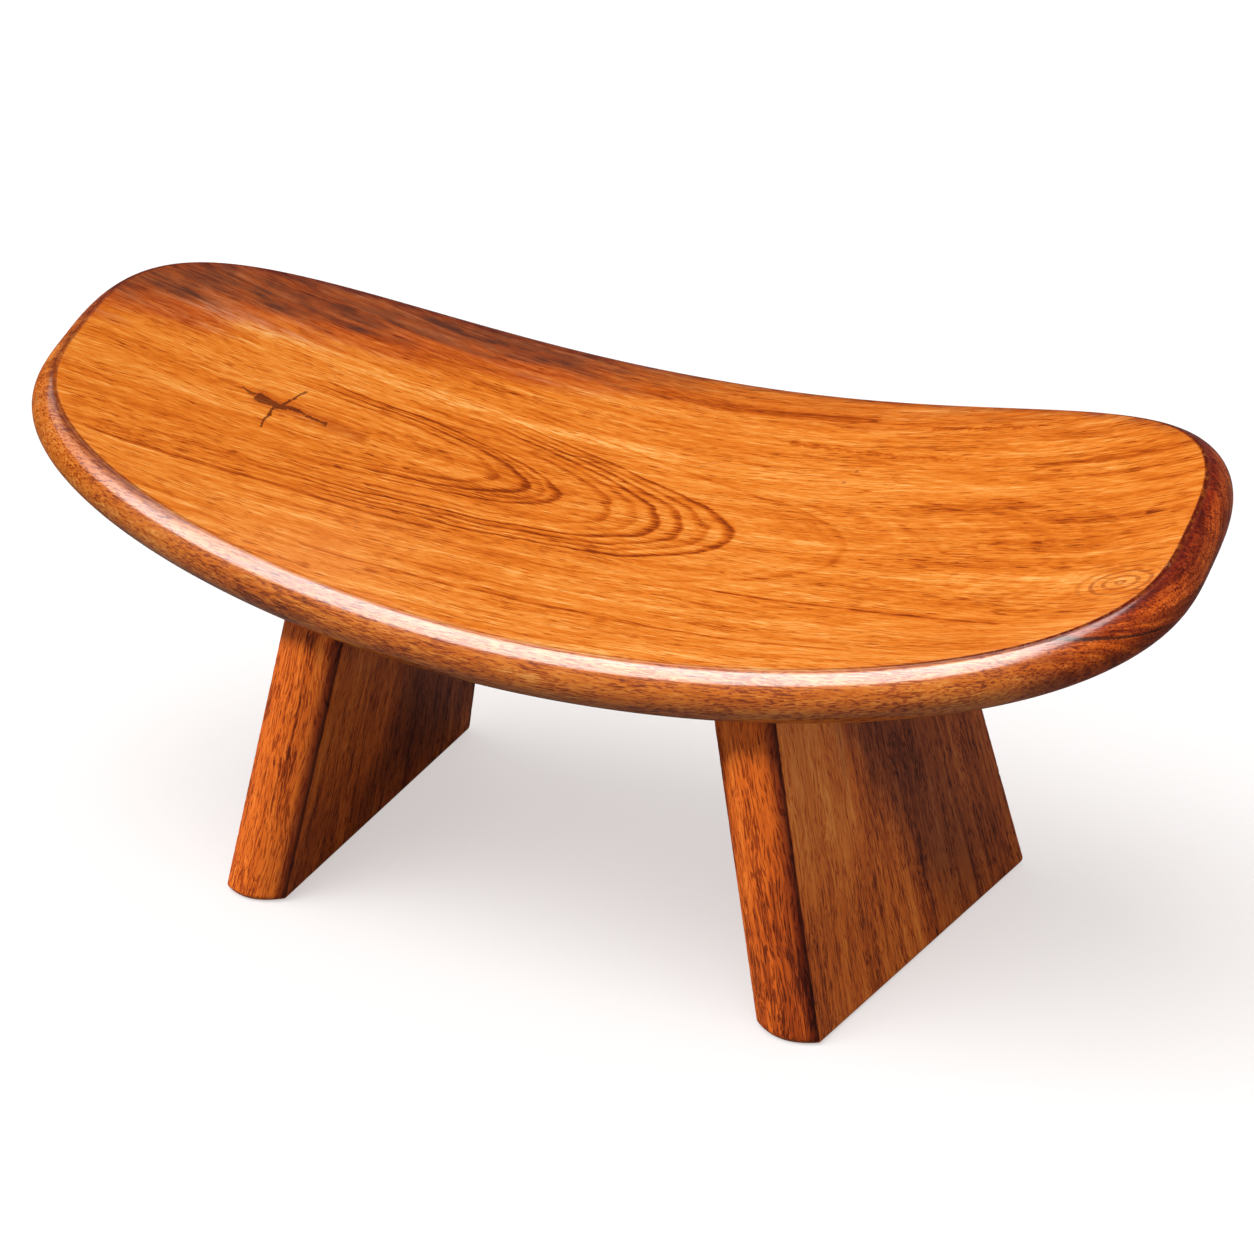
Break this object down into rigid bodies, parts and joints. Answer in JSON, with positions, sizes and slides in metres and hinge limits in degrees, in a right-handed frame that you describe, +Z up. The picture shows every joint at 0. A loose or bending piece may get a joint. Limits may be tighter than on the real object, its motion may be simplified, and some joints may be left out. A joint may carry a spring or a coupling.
{
  "type": "meditation stool",
  "caption": "Low wooden kneeling stool: a saddle-curved, forward-tilted seat with rounded ends and edge on two splayed trapezoid panel legs, joined by hidden dowels.",
  "frame": {"origin": "on the floor under the middle of the stool's outer box", "axes": "+X along the seat's length, -Y towards the lower front edge where the knees go, +Z up"},
  "size_m": [0.4754, 0.1828, 0.2096],
  "materials": {
    "seat_wood": "polished and oiled, orange-brown with dark pores",
    "leg_wood": "polished and oiled, red-brown with dark pores",
    "dowel_wood": "plain turned hardwood, unfinished"
  },
  "bodies": {
    "root": {"seat": "seat_wood", "leg_left": "leg_wood", "leg_right": "leg_wood", "dowel_left_front": "dowel_wood", "dowel_left_middle": "dowel_wood", "dowel_left_back": "dowel_wood", "dowel_right_front": "dowel_wood", "dowel_right_middle": "dowel_wood", "dowel_right_back": "dowel_wood"}
  },
  "joints": []
}
